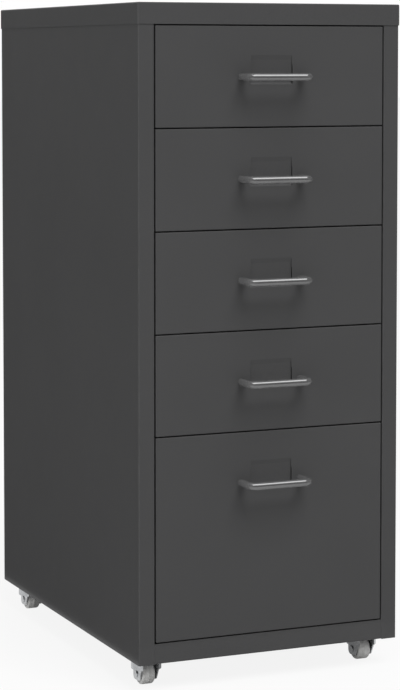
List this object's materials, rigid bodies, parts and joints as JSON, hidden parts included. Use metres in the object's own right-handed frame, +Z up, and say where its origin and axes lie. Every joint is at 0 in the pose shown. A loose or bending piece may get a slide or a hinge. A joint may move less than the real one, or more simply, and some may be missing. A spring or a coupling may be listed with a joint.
{
  "type": "rolling drawer cabinet",
  "caption": "Tall narrow sheet-steel drawer cabinet on small swivel castors, with low drawers over a deep one, wire pull handles and a pressed label pocket on each front.",
  "frame": {"origin": "on the floor, under the middle of the whole object, handles and rear screw heads included", "axes": "+Z up, -Y out of the drawer fronts, +X to the right as seen from the front"},
  "size_m": [0.2838, 0.4402, 0.673],
  "materials": {
    "anthracite_paint": "matt powder coat, anthracite grey, fine texture",
    "bright_plating": "bright polished plating",
    "zinc_plating": "bright zinc plating on stamped steel",
    "grey_polypropylene": "moulded, light grey, satin"
  },
  "bodies": {
    "cabinet": {"left_side_panel": "anthracite_paint", "right_side_panel": "anthracite_paint", "back_panel": "anthracite_paint", "top_cover": "anthracite_paint", "bottom_pan": "anthracite_paint", "back_screws": "zinc_plating", "castor_kingpins": "zinc_plating", "castor_balls": "zinc_plating", "castor_screws": "zinc_plating", "castor_nuts": "zinc_plating", "runner_1_left": "zinc_plating", "runner_1_right": "zinc_plating", "runner_2_left": "zinc_plating", "runner_2_right": "zinc_plating", "runner_3_left": "zinc_plating", "runner_3_right": "zinc_plating", "runner_4_left": "zinc_plating", "runner_4_right": "zinc_plating", "runner_5_left": "zinc_plating", "runner_5_right": "zinc_plating", "castor_front_left_plate": "zinc_plating", "castor_front_right_plate": "zinc_plating", "castor_rear_left_plate": "zinc_plating", "castor_rear_right_plate": "zinc_plating"},
    "drawer_1": {"drawer_1_front": "anthracite_paint", "drawer_1_tray": "anthracite_paint", "drawer_1_handle": "bright_plating", "drawer_1_handle_screws": "zinc_plating"},
    "drawer_2": {"drawer_2_front": "anthracite_paint", "drawer_2_tray": "anthracite_paint", "drawer_2_handle": "bright_plating", "drawer_2_handle_screws": "zinc_plating"},
    "drawer_3": {"drawer_3_front": "anthracite_paint", "drawer_3_tray": "anthracite_paint", "drawer_3_handle": "bright_plating", "drawer_3_handle_screws": "zinc_plating"},
    "drawer_4": {"drawer_4_front": "anthracite_paint", "drawer_4_tray": "anthracite_paint", "drawer_4_handle": "bright_plating", "drawer_4_handle_screws": "zinc_plating"},
    "drawer_5": {"drawer_5_front": "anthracite_paint", "drawer_5_tray": "anthracite_paint", "drawer_5_handle": "bright_plating", "drawer_5_handle_screws": "zinc_plating"},
    "castor_front_left_swivel": {"castor_front_left_fork": "zinc_plating", "castor_front_left_axle": "zinc_plating"},
    "castor_front_left_roller": {"castor_front_left_wheel": "grey_polypropylene"},
    "castor_front_right_swivel": {"castor_front_right_fork": "zinc_plating", "castor_front_right_axle": "zinc_plating"},
    "castor_front_right_roller": {"castor_front_right_wheel": "grey_polypropylene"},
    "castor_rear_left_swivel": {"castor_rear_left_fork": "zinc_plating", "castor_rear_left_axle": "zinc_plating"},
    "castor_rear_left_roller": {"castor_rear_left_wheel": "grey_polypropylene"},
    "castor_rear_right_swivel": {"castor_rear_right_fork": "zinc_plating", "castor_rear_right_axle": "zinc_plating"},
    "castor_rear_right_roller": {"castor_rear_right_wheel": "grey_polypropylene"}
  },
  "joints": [
    {"name": "drawer_1_slide", "type": "slide", "parent": "cabinet", "child": "drawer_1", "axis": [0, -1, 0], "range_m": [0, 0.2882]},
    {"name": "drawer_2_slide", "type": "slide", "parent": "cabinet", "child": "drawer_2", "axis": [0, -1, 0], "range_m": [0, 0.2882]},
    {"name": "drawer_3_slide", "type": "slide", "parent": "cabinet", "child": "drawer_3", "axis": [0, -1, 0], "range_m": [0, 0.2882]},
    {"name": "drawer_4_slide", "type": "slide", "parent": "cabinet", "child": "drawer_4", "axis": [0, -1, 0], "range_m": [0, 0.2882]},
    {"name": "drawer_5_slide", "type": "slide", "parent": "cabinet", "child": "drawer_5", "axis": [0, -1, 0], "range_m": [0, 0.2882]},
    {"name": "castor_front_left_turn", "type": "hinge", "parent": "cabinet", "child": "castor_front_left_swivel", "pos_m": [-0.11975, -0.1581, 0.0249], "axis": [0, 0, 1], "continuous": true},
    {"name": "castor_front_left_roll", "type": "hinge", "parent": "castor_front_left_swivel", "child": "castor_front_left_roller", "pos_m": [-0.11975, -0.1551, 0.011], "axis": [1, 0, 0], "continuous": true},
    {"name": "castor_front_right_turn", "type": "hinge", "parent": "cabinet", "child": "castor_front_right_swivel", "pos_m": [0.11975, -0.1581, 0.0249], "axis": [0, 0, 1], "continuous": true},
    {"name": "castor_front_right_roll", "type": "hinge", "parent": "castor_front_right_swivel", "child": "castor_front_right_roller", "pos_m": [0.11975, -0.1551, 0.011], "axis": [1, 0, 0], "continuous": true},
    {"name": "castor_rear_left_turn", "type": "hinge", "parent": "cabinet", "child": "castor_rear_left_swivel", "pos_m": [-0.11975, 0.1829, 0.0249], "axis": [0, 0, 1], "continuous": true},
    {"name": "castor_rear_left_roll", "type": "hinge", "parent": "castor_rear_left_swivel", "child": "castor_rear_left_roller", "pos_m": [-0.11975, 0.1859, 0.011], "axis": [1, 0, 0], "continuous": true},
    {"name": "castor_rear_right_turn", "type": "hinge", "parent": "cabinet", "child": "castor_rear_right_swivel", "pos_m": [0.11975, 0.1829, 0.0249], "axis": [0, 0, 1], "continuous": true},
    {"name": "castor_rear_right_roll", "type": "hinge", "parent": "castor_rear_right_swivel", "child": "castor_rear_right_roller", "pos_m": [0.11975, 0.1859, 0.011], "axis": [1, 0, 0], "continuous": true}
  ]
}
